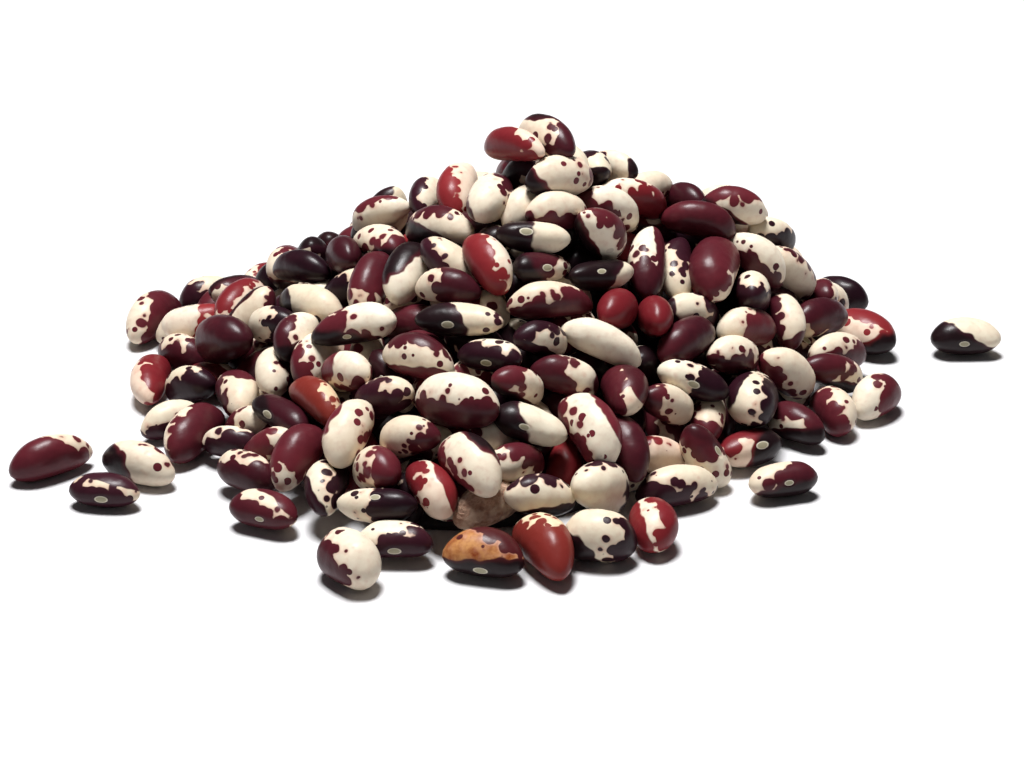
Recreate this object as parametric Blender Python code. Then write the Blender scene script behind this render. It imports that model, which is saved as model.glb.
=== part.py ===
"""A heap of dried speckled kidney beans as it lies on a table, with five loose beans beside it.

The heap is one solid: a core that follows the heap's shape, with every bean of its outer layer
fused on at true size. The loose beans are solids of their own. Lengths are in millimetres, and the
points of a mesh are in metres. The origin is on the table under the middle of the heap, X runs to
the right, Y to the back and Z up.
"""

import math

import bmesh
import bpy
import numpy as np
from mathutils import Vector

MILLIMETRE = 0.001  # of a metre

# One bean, and how the beans differ
BEAN_LENGTH, BEAN_WIDTH, BEAN_THICKNESS = 14.6, 8.5, 7.3
BEND = 0.16  # how far a bean's ends curve to its seam side, as a share of half its length
FULLNESS = 0.12  # how much fuller than an egg a bean is towards its ends
SHORTEST, LONGEST = 12.8, 17.5
NARROWEST, WIDEST = 6.3, 10.0
WIDTH_SHARE, THICKNESS_SHARE = 1.02, 0.90  # of the width that shows

# The heap: a cone with a blunt peak whose foot is uneven, and a few swellings
CONE_HEIGHT, CONE_BLUNTNESS = 48.5, 0.06
PEAK_X = 4.0
FOOT_RADII = (77, 80, 77, 75, 71, 77, 77, 70, 79, 76, 64, 64)  # every 30 degrees from +X
SWELLINGS = (  # x, y, height, spread
    (5.0, -3.0, 6.8, 6.2),
    (44.5, 13.5, 12.0, 7.6),
    (22.0, 14.0, 3.5, 10.0),
    (-25.0, 12.0, 3.5, 5.0),
)
HALF_SUNK = 4.2  # from the heap's surface down to the middle of a bean of the outer layer
FLOOR_REST = 3.7  # the middle of a bean that lies on the table
TOE = 3.5  # how quickly the level of the beans drops to the table at the heap's foot
CORE_DEPTH = 0.6  # from the middle of the outer beans down to the core
CORE_INSET, CORE_EDGE = 3.0, 2.4  # the core's foot inside the heap's, and its height there
CORE_RINGS, CORE_SECTORS = 9, 30
SLOPE_STEP = 1.5  # how far to each side of a point its slope is read

# The view from the front in which the near beans are placed: a picture of 1024 by 763 pixels
VIEW_TILT = math.radians(26.0)
VIEW_DISTANCE, VIEW_AIM = 450.0, 1.2
VIEW_FOCAL = 2340.0
VIEW_MIDDLE = (512.0, 381.5)
SIGHT_NEAR, SIGHT_FAR, SIGHT_STEPS = 320.0, 560.0, 961  # where a sight line is searched
SIGHT_MARGIN = 3.0  # how far past the heap's foot it may still meet the outer beans

# The beans that this view shows: column, row, angle of the long axis in degrees, length and width
# in pixels, how far the bean stands out of the layer in millimetres, and where its seam shows, from
# -1 at the lower edge to 1 at the upper, or None where the seam is turned away
NEAR_BEANS = (
    # peak
    (514, 146, -2, 70, 33, 1.0, None), (547, 138, -35, 66, 38, 0.0, None),
    (560, 178, 15, 70, 42, 1.0, None), (491, 198, -70, 56, 46, 0.5, None),
    (528, 207, 10, 70, 42, -2.0, None), (557, 212, 0, 66, 40, -2.5, None),
    (533, 237, -5, 75, 36, 0.0, 0.3), (600, 234, -50, 68, 44, 0.5, None),
    (609, 209, -15, 66, 40, -1.5, None), (634, 199, -8, 66, 36, 0.0, None),
    (613, 168, 0, 48, 34, -1.0, None), (645, 193, 10, 60, 36, -1.0, None),
    (648, 262, 85, 76, 38, 0.0, None), (678, 268, 90, 66, 34, -1.0, None),
    (458, 190, 75, 62, 40, 0.0, None), (428, 197, 45, 44, 35, -1.0, None),
    (438, 229, 0, 72, 42, 0.5, None),
    # left of the peak
    (380, 244, -10, 56, 36, 0.0, -0.55), (407, 273, 60, 68, 46, 0.5, None),
    (371, 284, 70, 70, 42, -2.0, None), (345, 256, 0, 40, 38, 0.0, None),
    (348, 292, 30, 68, 40, -2.0, None), (380, 214, 22, 62, 33, -0.5, None),
    (300, 268, -3, 60, 32, 0.5, None),
    # right of the peak
    (699, 221, -12, 78, 38, 0.5, None), (714, 268, 65, 74, 52, 1.5, None),
    (735, 207, -12, 66, 38, 0.0, None), (683, 201, -5, 54, 34, -1.0, None),
    (773, 236, -30, 52, 34, -0.5, None), (758, 260, -45, 70, 40, -0.5, None),
    (789, 273, -40, 66, 38, -0.5, None), (752, 296, 0, 44, 44, 0.0, None),
    # middle, on the left
    (154, 319, 40, 64, 42, 0.0, None), (209, 296, 10, 48, 38, 0.0, None),
    (188, 328, 25, 66, 40, 0.0, None), (184, 355, 0, 50, 40, -1.0, None),
    (225, 340, 15, 64, 48, 0.5, None), (240, 303, 45, 64, 38, -0.5, None),
    (262, 286, 30, 60, 38, -1.0, None), (310, 306, -15, 72, 40, -0.5, None),
    (275, 325, 15, 64, 38, -0.5, None), (297, 336, 60, 60, 38, -1.0, None),
    (277, 371, 65, 56, 42, 0.0, None), (314, 358, 70, 66, 40, -1.0, None),
    (355, 326, 18, 88, 42, 0.8, -0.45), (347, 373, 10, 52, 42, 0.0, None),
    # middle
    (447, 287, -3, 68, 36, 0.0, None), (488, 263, -50, 70, 42, 0.8, None),
    (540, 267, 8, 60, 32, 0.0, 0.0), (599, 275, 5, 66, 34, 0.5, 0.2),
    (551, 302, 0, 88, 38, 0.3, None), (460, 320, -2, 90, 38, 0.5, -0.3),
    (418, 358, -15, 75, 46, 0.0, None), (491, 356, -5, 66, 37, 0.0, -0.4),
    (542, 340, -15, 56, 36, 0.0, None), (603, 343, -30, 88, 38, 0.8, None),
    (617, 311, 0, 44, 40, 0.3, None), (656, 319, 0, 40, 40, 0.3, None),
    (692, 313, 0, 60, 38, -1.5, None), (686, 341, 18, 68, 42, 0.5, None),
    (733, 356, -15, 60, 40, -0.5, None), (747, 328, 25, 60, 40, 0.0, None),
    (785, 320, -65, 62, 38, 0.0, None),
    # right end
    (820, 318, 10, 60, 38, -0.5, None), (840, 294, -15, 44, 34, 0.0, None),
    (862, 334, -15, 72, 44, 0.3, -0.8), (838, 353, 0, 60, 38, -0.8, None),
    (834, 373, -20, 64, 36, 0.3, None),
    # lower, on the left
    (152, 379, 80, 60, 38, 0.0, None), (190, 386, 10, 56, 38, 0.0, None),
    (172, 420, 15, 60, 36, -0.3, None), (196, 436, 55, 76, 46, 0.5, None),
    (237, 395, -75, 58, 42, 0.0, None), (282, 416, -30, 60, 36, 0.5, -0.3),
    (247, 427, 30, 50, 36, -1.0, None), (232, 444, 0, 52, 34, -1.0, None),
    (316, 401, -40, 64, 34, 0.0, None), (268, 449, 30, 60, 38, -1.5, None),
    (248, 472, -20, 60, 40, 0.0, None), (297, 456, 55, 76, 46, 0.5, None),
    (349, 432, 62, 76, 46, 0.8, None), (383, 398, 20, 64, 40, -1.0, None),
    (408, 438, 15, 64, 42, 0.0, None), (376, 471, 0, 52, 46, -0.5, None),
    (327, 487, 70, 60, 42, -0.5, None),
    # lower middle
    (431, 488, -50, 68, 42, 0.3, None), (457, 402, -10, 90, 56, 1.0, None),
    (471, 464, -45, 76, 50, 0.8, None), (493, 443, 0, 60, 40, -1.5, None),
    (517, 463, 0, 60, 40, -2.0, None), (519, 386, -15, 56, 34, 0.0, None),
    (565, 377, -8, 70, 40, 0.0, None), (624, 391, -70, 56, 46, 0.0, None),
    (530, 425, -12, 78, 42, 0.0, -0.2), (590, 428, -55, 84, 52, 1.0, None),
    (625, 447, -60, 76, 44, -0.8, None), (600, 489, -20, 64, 52, 0.5, None),
    (541, 496, 0, 76, 42, -0.5, None), (378, 505, -2, 82, 40, 0.3, 0.4),
    # lower, on the right
    (660, 457, -10, 66, 40, -0.5, None), (667, 404, -20, 60, 38, 0.0, None),
    (693, 381, -30, 76, 38, 0.3, -0.2), (754, 399, 60, 58, 54, 0.8, None),
    (788, 373, -38, 66, 42, 0.3, None), (709, 417, 80, 56, 34, -0.5, None),
    (704, 457, -60, 72, 42, 0.0, 0.7), (748, 449, 0, 62, 42, 0.0, 0.0),
    (796, 424, -50, 46, 38, 0.0, None), (833, 411, -50, 54, 43, 0.3, None),
    (876, 398, 30, 54, 42, 0.3, None),
    # front row, on the table
    (265, 510, -12, 70, 42, 0.0, -0.5), (349, 561, -30, 64, 56, 0.0, None),
    (395, 540, 3, 78, 42, 0.0, -0.6), (485, 554, -5, 84, 50, 0.0, -0.75),
    (487, 505, 20, 76, 44, -1.0, None), (545, 546, -50, 80, 52, 0.0, None),
    (598, 542, 0, 56, 56, 0.0, None), (652, 525, -70, 52, 48, 0.0, None),
    (677, 487, 2, 84, 42, 0.0, None),
)
LOOSE_BEANS = (
    (51, 457, 15, 86, 43, 0.0, None), (105, 487, -5, 66, 38, 0.0, -0.5),
    (138, 463, -15, 76, 42, 0.0, None), (782, 478, 8, 68, 40, 0.0, -0.2),
    (965, 337, 0, 70, 40, 0.0, -0.4),
)

# How long a seen bean is: at most MOST_LEAN along the sight line for each millimetre across it, at
# least LEAST_SCALE and at most MOST_SCALE of a usual bean, and turned only if it is TURN_SLACK off
MOST_LEAN, LEAST_SCALE, MOST_SCALE, TURN_SLACK = 1.2, 0.85, 1.15, 0.15
LYING_LEVEL = 0.8  # above FLOOR_REST, up to which a bean lies level on the table
HIDDEN_SEAM = (0.6, -0.8)  # where a seam that doesn't show lies: along the sight line and upwards

# How the beans between those are strewn and pressed apart
SEED = 7
STREW_TRIES, STREW_RADIUS, STREW_INSET = 12000, 84.0, 4.5
STREW_OVERLAP, STREW_OUT = 1.1, (-1.6, 0.6)
STREW_LENGTH, STREW_SIZE = (0.95, 1.05), (0.86, 1.06)
STREW_TILT, FLOOR_TILT, STREW_TURNS = 1.1, 0.1, 9
FLOOR_SKIP = 0.35  # the share of the places on the table that stay empty
BARE_FRONT, BARE_SIDE = -20.0, 62.0  # beyond these the table between the seen beans is bare
PRESS_ROUNDS = 60
NEIGHBOUR_REACH = 18.5
BALL_PLACES = (-0.62, -0.33, 0.0, 0.33, 0.62)  # of the inner balls, on half a bean's length
PRESS_SHARE, SWING_SHARE, SEEN_SWING = 0.5, 0.6, 0.25
SEEN_ALONG, SEEN_ACROSS = 1.3, 0.35  # how far a seen bean gives way, along and across its sight line
PIN_ALONG, PIN_ACROSS, SETTLING = 0.05, 0.25, 0.10  # how fast beans go back to where they belong
FLOOR_GAP = 0.05

# How finely a bean is faceted, and the growth that makes up for the few facets in the heap
HEAP_BEAN_SIDES, HEAP_BEAN_RINGS, FACET_GROWTH = 6, 4, 1.03
LOOSE_BEAN_SIDES, LOOSE_BEAN_RINGS = 14, 10
FLAT_SPOT_CUT, TABLE_GAP = 0.25, 0.2


def unit(vectors):
    """Each vector at length 1."""
    length = np.linalg.norm(vectors, axis=-1, keepdims=True)
    return vectors / np.maximum(length, 1e-9)


# The view and the heap's surface

FORWARD = np.array([0.0, math.cos(VIEW_TILT), -math.sin(VIEW_TILT)])
RIGHT = np.array([1.0, 0.0, 0.0])
UP = np.array([0.0, math.sin(VIEW_TILT), math.cos(VIEW_TILT)])
EYE = np.array([0.0, 0.0, VIEW_AIM]) - FORWARD * VIEW_DISTANCE


def sight_line(column, row):
    """Direction from the eye through a point of the picture."""
    across = (column - VIEW_MIDDLE[0]) / VIEW_FOCAL
    down = (row - VIEW_MIDDLE[1]) / VIEW_FOCAL
    return unit(FORWARD + RIGHT * across - UP * down)


def foot_radius(angle):
    """Smooth closed outline of the heap's foot, through FOOT_RADII, as a sum of waves."""
    count = len(FOOT_RADII)
    waves = np.fft.rfft(np.array(FOOT_RADII, float)) / count
    radius = np.full(np.shape(angle), waves[0].real)
    for k in range(1, count // 2 + 1):
        share = 1.0 if 2 * k == count else 2.0
        radius = radius + share * (waves[k].real * np.cos(k * angle) - waves[k].imag * np.sin(k * angle))
    return radius


def heap_surface(x, y):
    """Height of the heap's outer surface: a blunt cone on the uneven foot, with its swellings."""
    reach = foot_radius(np.arctan2(y, x))
    inward = np.clip(1.0 - np.hypot(x, y) / reach, 0.0, 1.0)
    share = np.hypot(x - PEAK_X * inward, y) / reach
    height = CONE_HEIGHT * (1.0 - np.sqrt(share**2 + CONE_BLUNTNESS**2) + CONE_BLUNTNESS)
    for middle_x, middle_y, rise, spread in SWELLINGS:
        away = (x - middle_x) ** 2 + (y - middle_y) ** 2
        height = height + rise * np.exp(-away / (2.0 * spread**2))
    return height


def rest_level(x, y, out=0.0):
    """Height at which the middle of an outer bean lies, so that none hangs just over the table."""
    above = heap_surface(x, y) - HALF_SUNK + out - FLOOR_REST
    above = above - TOE * np.exp(-np.maximum(above, 0.0) / TOE)
    return FLOOR_REST + np.maximum(above, 0.0)


def surface_normal(x, y, step=SLOPE_STEP):
    """Upward direction square to the level on which the outer beans lie."""
    slope_x = (rest_level(x + step, y) - rest_level(x - step, y)) / (2 * step)
    slope_y = (rest_level(x, y + step) - rest_level(x, y - step)) / (2 * step)
    return unit(np.array([-slope_x, -slope_y, 1.0]))


# Beans that the view shows

def meet_heap(column, row, out, on_table=False):
    """Where a sight line reaches the level of the outer beans, and by how much it misses it."""
    line = sight_line(column, row)
    if on_table:
        far = (FLOOR_REST - EYE[2]) / line[2]
        return EYE + far * line, 0.0
    points = EYE + np.linspace(SIGHT_NEAR, SIGHT_FAR, SIGHT_STEPS)[:, None] * line
    x, y, z = points.T
    above = z - rest_level(x, y, out)
    above[np.hypot(x, y) > foot_radius(np.arctan2(y, x)) + SIGHT_MARGIN] = np.inf
    hits = np.nonzero(above <= 0.0)[0]
    if len(hits) == 0:
        nearest = np.argmin(above)
        return points[nearest], above[nearest]
    after = hits[0]
    if not np.isfinite(above[after - 1]):
        return points[after], 0.0
    share = above[after - 1] / (above[after - 1] - above[after])
    return points[after - 1] + share * (points[after] - points[after - 1]), 0.0


def seen_bean(column, row, angle, length, width, out, seam, on_table=False):
    """Middle, axes and half sizes of a bean from how the view shows it."""
    middle, miss = meet_heap(column, row, out, on_table)
    line = sight_line(column, row)
    side = unit(np.cross(line, UP))
    above = np.cross(side, line)
    turn = math.radians(angle)
    flat = math.cos(turn) * side + math.sin(turn) * above
    normal = surface_normal(middle[0], middle[1])
    lean = np.clip(-(flat @ normal) / (line @ normal), -MOST_LEAN, MOST_LEAN)
    long_axis = unit(flat + lean * line)
    flat_on_table = middle[2] < FLOOR_REST + LYING_LEVEL
    if flat_on_table:
        long_axis = unit(long_axis * [1.0, 1.0, 0.0])

    # A bean's full length follows from how much of its long axis shows
    size = VIEW_FOCAL / ((middle - EYE) @ FORWARD)
    shown_width, shown_length = width / size, length / size
    shows = math.sqrt(1.0 - (long_axis @ line) ** 2)
    full = math.sqrt(max(shown_length**2 - shown_width**2 * (1.0 - shows**2), 0.0)) / shows
    if not flat_on_table:
        usual = 2.0 * shown_width / (BEAN_WIDTH + BEAN_THICKNESS)
        full = max(full, BEAN_LENGTH * np.clip(usual, LEAST_SCALE, MOST_SCALE))
    full = np.clip(full, SHORTEST, LONGEST)
    # A bean in the heap that would look too short or too long is turned towards the eye or from it
    slim, short = shown_width / full, min(shown_length / full, 1.0)
    tip = math.acos(math.sqrt(min(max((short**2 - slim**2) / (1.0 - slim**2), 0.0), 1.0)))
    if not flat_on_table and abs(tip - math.acos(shows)) > TURN_SLACK:
        long_axis = math.cos(tip) * flat + math.copysign(math.sin(tip), lean) * line

    upper = math.cos(turn) * above - math.sin(turn) * side
    if seam is None:
        to_seam = HIDDEN_SEAM[0] * line + HIDDEN_SEAM[1] * upper
    else:
        to_seam = seam * upper - math.sqrt(1.0 - seam**2) * line
    wide = np.clip(shown_width, NARROWEST, WIDEST)
    half = [full / 2, wide * WIDTH_SHARE / 2, wide * THICKNESS_SHARE / 2]
    return middle, long_axis, -to_seam, half, out + miss, line


# The outer layer as arrays, one row for each bean

def new_layer():
    return {
        "middle": np.zeros((0, 3)), "long": np.zeros((0, 3)), "wide": np.zeros((0, 3)),
        "half": np.zeros((0, 3)), "out": np.zeros(0), "line": np.zeros((0, 3)),
        "pin": np.zeros((0, 3)), "seen": np.zeros(0),
    }


def add_bean(layer, middle, long_axis, wide_axis, half, out, line=(0.0, 0.0, 0.0), seen=0.0):
    rows = (middle, long_axis, wide_axis, half, out, line, middle, seen)
    for name, row in zip(layer, rows):
        layer[name] = np.concatenate([layer[name], np.array([row], float)])


def inner_balls(middle, long_axis, half):
    """Five balls inside each bean along its length: their middles, radii and places on the axis."""
    along = half[:, :1] * np.array(BALL_PLACES)
    length, girth = half[:, :1], (half[:, 1:2] + half[:, 2:]) / 2
    radius = girth * np.sqrt(np.maximum(1.0 - along**2 / (length**2 - girth**2), 0.05))
    return middle[:, None] + along[:, :, None] * long_axis[:, None], radius, along


def deepest_overlap(layer, middle, axes, half):
    """For each of several long axes of a new bean, how deep it would lie in its neighbours."""
    near = np.linalg.norm(layer["middle"] - middle, axis=1) < NEIGHBOUR_REACH
    if not near.any():
        return np.full(len(axes), -np.inf)
    count = len(axes)
    mine, my_radius, _ = inner_balls(np.tile(middle, (count, 1)), axes, np.tile(half, (count, 1)))
    theirs, radius, _ = inner_balls(layer["middle"][near], layer["long"][near], layer["half"][near])
    gap = np.linalg.norm(mine[:, :, None] - theirs.reshape(1, 1, -1, 3), axis=3)
    return (my_radius[:, :, None] + radius.reshape(1, 1, -1) - gap).max(axis=(1, 2))


def strew(layer, draws):
    """Beans on the rest of the surface, wherever one fits between those that are there."""
    for _ in range(STREW_TRIES):
        draw = draws.random(10)
        radius, angle = STREW_RADIUS * math.sqrt(draw[0]), 2.0 * math.pi * draw[1]
        if radius > foot_radius(angle) - STREW_INSET:
            continue
        x, y = radius * math.cos(angle), radius * math.sin(angle)
        out = STREW_OUT[0] + (STREW_OUT[1] - STREW_OUT[0]) * draw[2]
        height = rest_level(x, y, out)
        bare = draw[3] < FLOOR_SKIP or y < BARE_FRONT or abs(x) > BARE_SIDE
        if height == FLOOR_REST and bare:
            continue
        middle = np.array([x, y, height])
        longer = STREW_LENGTH[0] + (STREW_LENGTH[1] - STREW_LENGTH[0]) * draw[4]
        larger = STREW_SIZE[0] + (STREW_SIZE[1] - STREW_SIZE[0]) * draw[5]
        half = np.array([BEAN_LENGTH * longer, BEAN_WIDTH, BEAN_THICKNESS]) / 2 * larger
        normal = surface_normal(x, y)
        across = unit(np.cross([0.0, 1.0, 0.0], normal))
        turns = math.pi * (draw[6] + np.arange(STREW_TURNS) / STREW_TURNS)
        tilt = (draw[7] - 0.5) * (STREW_TILT if middle[2] > FLOOR_REST + 2.0 else FLOOR_TILT)
        flat = np.cos(turns)[:, None] * across + np.sin(turns)[:, None] * np.cross(normal, across)
        axes = flat * math.cos(tilt) + normal * math.sin(tilt)
        overlap = deepest_overlap(layer, middle, axes, half)
        best = np.argmin(overlap)
        if overlap[best] < STREW_OVERLAP:
            roll = 2.0 * math.pi * draw[8]
            upright = unit(np.cross(axes[best], np.cross(normal, axes[best])))
            wide_axis = math.cos(roll) * upright + math.sin(roll) * np.cross(axes[best], upright)
            add_bean(layer, middle, axes[best], wide_axis, half, out)


def sum_rows(indices, rows, count):
    """Sum of the rows that share an index."""
    return np.stack([np.bincount(indices, rows[:, k], count) for k in range(3)], axis=1)


def press_apart(layer, rounds):
    """Moves overlapping beans apart, a little each round, and back to the level they lie on.

    A bean that the view shows keeps its place in the picture: it moves along its sight line.
    """
    count = len(layer["middle"])
    seen, line, half = layer["seen"][:, None], layer["line"], layer["half"]
    girth = (half[:, 1] + half[:, 2]) / 2
    for turn in range(rounds):
        middle, long_axis = layer["middle"], layer["long"]
        if turn % 10 == 0:
            apart = np.linalg.norm(middle[:, None] - middle[None], axis=2)
            first, second = np.nonzero(np.triu(apart < NEIGHBOUR_REACH, 1))
        balls, radius, along = inner_balls(middle, long_axis, half)
        gap = (balls[first][:, :, None] - balls[second][:, None]).reshape(len(first), 25, 3)
        reach = (radius[first][:, :, None] + radius[second][:, None]).reshape(len(first), 25)
        overlap = reach - np.linalg.norm(gap, axis=2)
        deepest = overlap.argmax(axis=1)
        rows = np.nonzero(overlap[np.arange(len(first)), deepest] > 0.0)[0]
        deepest, i, j = deepest[rows], first[rows], second[rows]
        push = unit(gap[rows, deepest]) * overlap[rows, deepest][:, None]
        lever_i, lever_j = along[i, deepest // 5][:, None], along[j, deepest % 5][:, None]
        both = np.concatenate([i, j])
        move = sum_rows(both, np.concatenate([push, -push]), count)
        swing = sum_rows(both, np.concatenate([push * lever_i, -push * lever_j]), count)
        touching = np.bincount(both, minlength=count)[:, None]
        share = PRESS_SHARE / np.sqrt(np.maximum(touching, 1))

        move = move * share
        on_line = (move * line).sum(axis=1, keepdims=True) * line
        given = SEEN_ALONG * on_line + SEEN_ACROSS * (move - on_line)
        move = np.where(seen > 0, given, move)
        swing = swing * share * SWING_SHARE / half[:, :1] ** 2 * np.where(seen > 0, SEEN_SWING, 1.0)
        swing = swing - (swing * long_axis).sum(axis=1, keepdims=True) * long_axis
        middle = middle + move
        long_axis = unit(long_axis + swing)

        rise = (rest_level(middle[:, 0], middle[:, 1], layer["out"]) - middle[:, 2])[:, None]
        strayed = layer["pin"] - middle
        on_line = (strayed * line).sum(axis=1, keepdims=True) * line
        back = PIN_ACROSS * (strayed - on_line) + PIN_ALONG * on_line
        middle = middle + np.where(seen > 0, back, rise * np.array([0.0, 0.0, SETTLING]))
        low = np.sqrt((long_axis[:, 2] * half[:, 0]) ** 2 + (1.0 - long_axis[:, 2] ** 2) * girth**2)
        middle[:, 2] = np.maximum(middle[:, 2], low + FLOOR_GAP)
        layer["middle"], layer["long"] = middle, long_axis


def outer_layer():
    layer = new_layer()
    for row in NEAR_BEANS:
        add_bean(layer, *seen_bean(*row), seen=1.0)
    press_apart(layer, PRESS_ROUNDS)
    strew(layer, np.random.default_rng(SEED))
    press_apart(layer, PRESS_ROUNDS)
    return layer


# Solids

def bean_solid(bm, middle, long_axis, wide_axis, half, sides, rings, growth=1.0):
    """Adds one bean: a rounded body, fuller than an egg, whose ends curve to its seam side."""
    wide = unit(wide_axis - (wide_axis @ long_axis) * long_axis)
    axes = np.stack([long_axis, wide, np.cross(long_axis, wide)])
    made = bmesh.ops.create_uvsphere(bm, u_segments=sides, v_segments=rings, radius=1.0)
    for vertex in made["verts"]:
        wide_share, thick_share, long_share = vertex.co
        fuller = max(math.hypot(wide_share, thick_share), 1e-6) ** -FULLNESS
        bend = BEND * half[0] * (1.0 / 3.0 - long_share**2)
        own = (
            long_share * half[0],
            wide_share * half[1] * fuller * growth + bend,
            thick_share * half[2] * fuller * growth,
        )
        vertex.co = Vector((middle + np.array(own) @ axes) * MILLIMETRE)
    lowest = min(vertex.co.z for vertex in made["verts"])
    lift = max(TABLE_GAP * MILLIMETRE - lowest, 0.0)
    bmesh.ops.translate(bm, verts=made["verts"], vec=(0.0, 0.0, lift))


def finish_object(name, bm, material, collection=None):
    mesh = bpy.data.meshes.new(name)
    bmesh.ops.recalc_face_normals(bm, faces=bm.faces)
    bm.to_mesh(mesh)
    bm.free()
    mesh.materials.append(material)
    made = bpy.data.objects.new(name, mesh)
    (collection or bpy.context.scene.collection).objects.link(made)
    return made


def skin_material(name, colour, roughness):
    material = bpy.data.materials.new(name)
    material.use_nodes = True
    shader = material.node_tree.nodes["Principled BSDF"]
    shader.inputs["Base Color"].default_value = (*colour, 1.0)
    shader.inputs["Roughness"].default_value = roughness
    shader.inputs["Metallic"].default_value = 0.0
    return material


def heap_core():
    """Closed body under the outer beans: rings of points that follow the heap, and a flat base."""
    bm = bmesh.new()
    peak = bm.verts.new((0.0, 0.0, (rest_level(0.0, 0.0) - CORE_DEPTH) * MILLIMETRE))
    angles = 2.0 * math.pi * np.arange(CORE_SECTORS) / CORE_SECTORS
    edge = foot_radius(angles) - CORE_INSET
    rings = []
    for ring in range(1, CORE_RINGS + 1):
        x, y = edge * np.cos(angles) * ring / CORE_RINGS, edge * np.sin(angles) * ring / CORE_RINGS
        level = np.minimum(rest_level(x, y), heap_surface(x, y) - HALF_SUNK)
        z = np.maximum(level - CORE_DEPTH, CORE_EDGE)
        rings.append([bm.verts.new(Vector(point) * MILLIMETRE) for point in zip(x, y, z)])
    base = [bm.verts.new((v.co.x, v.co.y, 0.0)) for v in rings[-1]]
    rings.append(base)
    for k in range(CORE_SECTORS):
        after = (k + 1) % CORE_SECTORS
        bm.faces.new((peak, rings[0][k], rings[0][after]))
        for inner, outer in zip(rings, rings[1:]):
            bm.faces.new((inner[k], outer[k], outer[after], inner[after]))
    bm.faces.new(base[::-1])
    return bm


def keep_largest_shell(mesh):
    """Drops loose scraps and fills sealed hollows: only the shell round the most space stays."""
    bm = bmesh.new()
    bm.from_mesh(mesh)
    bmesh.ops.triangulate(bm, faces=bm.faces)
    shells, left = [], set(bm.faces)
    while left:
        shell, edge_faces = set(), [left.pop()]
        while edge_faces:
            face = edge_faces.pop()
            shell.add(face)
            around = {other for edge in face.edges for other in edge.link_faces} & left
            left -= around
            edge_faces.extend(around)
        shells.append(shell)
    space = [sum(f.verts[0].co.dot(f.verts[1].co.cross(f.verts[2].co)) for f in s) for s in shells]
    largest = space.index(max(space))
    for k, shell in enumerate(shells):
        if k != largest:
            spot = next(iter(shell)).calc_center_median() / MILLIMETRE
            print("dropped a shell of", round(space[k] / 6.0 / MILLIMETRE**3, 1), "mm3 near", spot)
    scraps = {face for k, shell in enumerate(shells) if k != largest for face in shell}
    bmesh.ops.delete(bm, geom=list(scraps), context="FACES")
    bm.to_mesh(mesh)
    bm.free()


def make_heap(layer, material):
    """The core with every bean of the outer layer joined on by one Boolean union."""
    heap = finish_object("bean_heap", heap_core(), material)
    pieces = bpy.data.collections.new("heap_beans")
    bpy.context.scene.collection.children.link(pieces)
    for k in range(len(layer["middle"])):
        bm = bmesh.new()
        place = [layer[name][k] for name in ("middle", "long", "wide", "half")]
        bean_solid(bm, *place, HEAP_BEAN_SIDES, HEAP_BEAN_RINGS, FACET_GROWTH)
        finish_object(f"heap_bean_{k}", bm, material, pieces)
    union = heap.modifiers.new("join", "BOOLEAN")
    union.operation, union.operand_type, union.collection = "UNION", "COLLECTION", pieces
    union.solver = "EXACT"
    graph = bpy.context.evaluated_depsgraph_get()
    joined = bpy.data.meshes.new_from_object(heap.evaluated_get(graph))
    heap.modifiers.clear()
    heap.data = joined
    for piece in list(pieces.objects):
        bpy.data.objects.remove(piece)
    bpy.data.collections.remove(pieces)
    keep_largest_shell(heap.data)


def make_loose_bean(number, row, material):
    """A bean on the table, resting on a small flat spot."""
    middle, long_axis, wide_axis, half, _, _ = seen_bean(*row, on_table=True)
    bm = bmesh.new()
    bean_solid(bm, middle, long_axis, wide_axis, half, LOOSE_BEAN_SIDES, LOOSE_BEAN_RINGS)
    lowest = min(vertex.co.z for vertex in bm.verts)
    bmesh.ops.translate(bm, verts=bm.verts, vec=(0.0, 0.0, -lowest - FLAT_SPOT_CUT * MILLIMETRE))
    everything = bm.verts[:] + bm.edges[:] + bm.faces[:]
    cut = bmesh.ops.bisect_plane(
        bm, geom=everything, plane_co=(0.0, 0.0, 0.0), plane_no=(0.0, 0.0, 1.0), clear_inner=True
    )
    rim = [item for item in cut["geom_cut"] if isinstance(item, bmesh.types.BMEdge)]
    bmesh.ops.contextual_create(bm, geom=rim)
    finish_object(f"loose_bean_{number}", bm, material)


def main():
    for old in list(bpy.data.objects):
        bpy.data.objects.remove(old)
    maroon = skin_material("maroon speckled skin", (0.20, 0.045, 0.05), 0.38)
    cream = skin_material("cream speckled skin", (0.80, 0.66, 0.49), 0.40)
    layer = outer_layer()
    make_heap(layer, maroon)
    for number, row in enumerate(LOOSE_BEANS, start=1):
        make_loose_bean(number, row, cream if number in (3, 5) else maroon)


main()
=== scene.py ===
# A heap of dried speckled kidney beans and five loose ones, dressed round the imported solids
import math

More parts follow.
